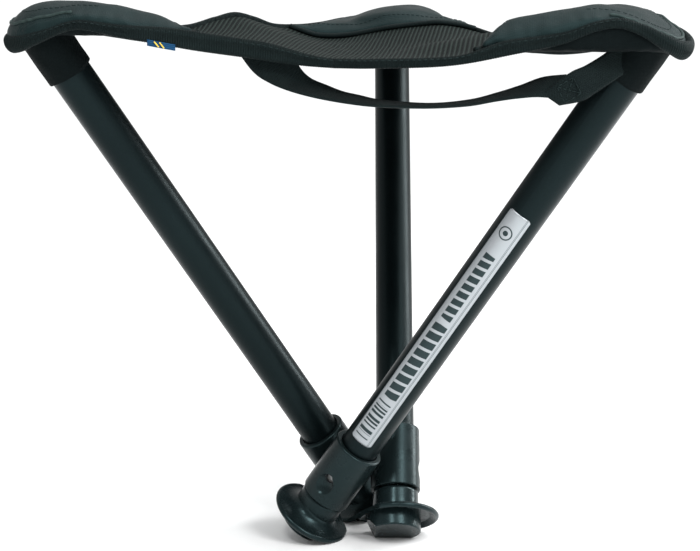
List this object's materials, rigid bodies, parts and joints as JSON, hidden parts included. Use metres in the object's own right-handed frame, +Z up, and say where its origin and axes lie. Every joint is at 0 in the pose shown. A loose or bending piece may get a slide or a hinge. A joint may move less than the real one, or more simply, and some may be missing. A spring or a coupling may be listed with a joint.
{
  "type": "folding three leg stool",
  "caption": "Folding camp stool: three telescopic legs pivot on a low hub and carry a triangular mesh seat with padded corners and a carrying strap.",
  "frame": {"origin": "on the ground under the middle of the opened stool's bounding box", "axes": "+Z up; +X along the front edge of the seat, towards the leg with the label; +Y away from the front edge, towards the back leg"},
  "size_m": [0.3822, 0.3387, 0.3302],
  "materials": {
    "hub_metal": "machined, satin",
    "screw_steel": "zinc plated",
    "seat_mesh": "ribbed open mesh, grey green",
    "binding_tape": "ribbed woven tape, near black",
    "strap_webbing": "woven webbing, near black",
    "side_tag": "woven tag, blue",
    "tube_paint": "satin black coating with a green cast",
    "black_plastic": "moulded",
    "pocket_sleeve": "matt black",
    "hub_plastic": "moulded, slightly glossy",
    "pad_nylon": "padded nylon, dark teal",
    "bare_aluminium": "drawn tube, bright",
    "guide_plastic": "moulded, natural",
    "foot_rubber": "moulded, slightly glossy",
    "spring_steel": "strip",
    "button_steel": "polished dome",
    "label_film": "silver film"
  },
  "bodies": {
    "hub_and_seat": {"hub_spider": "hub_metal", "pivot_screws": "screw_steel", "seat_panel": "seat_mesh", "front_edge_binding": "binding_tape", "left_edge_binding": "binding_tape", "right_edge_binding": "binding_tape", "carry_strap": "strap_webbing", "strap_tab": "strap_webbing", "side_tag": "side_tag"},
    "right_leg": {"right_outer_tube": "tube_paint", "right_tube_cap": "black_plastic", "right_top_sleeve": "pocket_sleeve", "right_collar": "hub_plastic", "right_corner_pad": "pad_nylon", "right_corner_binding": "binding_tape", "tube_label": "label_film"},
    "right_inner_leg": {"right_inner_tube": "bare_aluminium", "right_guide_bush": "guide_plastic", "right_foot": "foot_rubber", "right_button_spring": "spring_steel"},
    "right_button": {"right_lock_button": "button_steel"},
    "left_leg": {"left_outer_tube": "tube_paint", "left_tube_cap": "black_plastic", "left_top_sleeve": "pocket_sleeve", "left_collar": "hub_plastic", "left_corner_pad": "pad_nylon", "left_corner_binding": "binding_tape"},
    "left_inner_leg": {"left_inner_tube": "bare_aluminium", "left_guide_bush": "guide_plastic", "left_foot": "foot_rubber", "left_button_spring": "spring_steel"},
    "left_button": {"left_lock_button": "button_steel"},
    "back_leg": {"back_outer_tube": "tube_paint", "back_tube_cap": "black_plastic", "back_top_sleeve": "pocket_sleeve", "back_collar": "hub_plastic", "back_corner_pad": "pad_nylon", "back_corner_binding": "binding_tape"},
    "back_inner_leg": {"back_inner_tube": "bare_aluminium", "back_guide_bush": "guide_plastic", "back_foot": "foot_rubber", "back_button_spring": "spring_steel"},
    "back_button": {"back_lock_button": "button_steel"}
  },
  "joints": [
    {"name": "right_leg_fold", "type": "hinge", "parent": "hub_and_seat", "child": "right_leg", "pos_m": [-0.00916, -0.06994, 0.0412], "axis": [-0.389, -0.9212, 0], "range_deg": [0, 35.4], "deforming": ["right_corner_pad", "right_corner_binding", "seat_panel", "front_edge_binding", "left_edge_binding", "right_edge_binding", "carry_strap", "strap_tab", "side_tag"]},
    {"name": "right_leg_extend", "type": "slide", "parent": "right_leg", "child": "right_inner_leg", "axis": [-0.5336, 0.2254, -0.8151], "range_m": [0, 0.28]},
    {"name": "right_button_press", "type": "slide", "parent": "right_inner_leg", "child": "right_button", "axis": [0.389, 0.9212, 0], "range_m": [0, 0.0025], "stiffness_N_per_m": 600, "springref_m": -0.003, "deforming": ["right_button_spring"]},
    {"name": "left_leg_fold", "type": "hinge", "parent": "hub_and_seat", "child": "left_leg", "pos_m": [-0.0142, -0.02948, 0.0412], "axis": [-0.6033, 0.7975, 0], "range_deg": [0, 35.4], "deforming": ["left_corner_pad", "left_corner_binding"]},
    {"name": "left_leg_extend", "type": "slide", "parent": "left_leg", "child": "left_inner_leg", "axis": [0.462, 0.3495, -0.8151], "range_m": [0, 0.28]},
    {"name": "left_button_press", "type": "slide", "parent": "left_inner_leg", "child": "left_button", "axis": [0.6033, -0.7975, 0], "range_m": [0, 0.0025], "stiffness_N_per_m": 600, "springref_m": -0.003, "deforming": ["left_button_spring"]},
    {"name": "back_leg_fold", "type": "hinge", "parent": "hub_and_seat", "child": "back_leg", "pos_m": [0.02336, -0.04534, 0.0412], "axis": [0.9923, 0.1237, 0], "range_deg": [0, 35.4], "deforming": ["back_corner_pad", "back_corner_binding"]},
    {"name": "back_leg_extend", "type": "slide", "parent": "back_leg", "child": "back_inner_leg", "axis": [0.0717, -0.5748, -0.8151], "range_m": [0, 0.28]},
    {"name": "back_button_press", "type": "slide", "parent": "back_inner_leg", "child": "back_button", "axis": [-0.9923, -0.1237, 0], "range_m": [0, 0.0025], "stiffness_N_per_m": 600, "springref_m": -0.003, "deforming": ["back_button_spring"]}
  ],
  "couplings": [
    {"joint": "left_leg_fold", "follows": "right_leg_fold", "ratio": 1},
    {"joint": "back_leg_fold", "follows": "right_leg_fold", "ratio": 1}
  ]
}
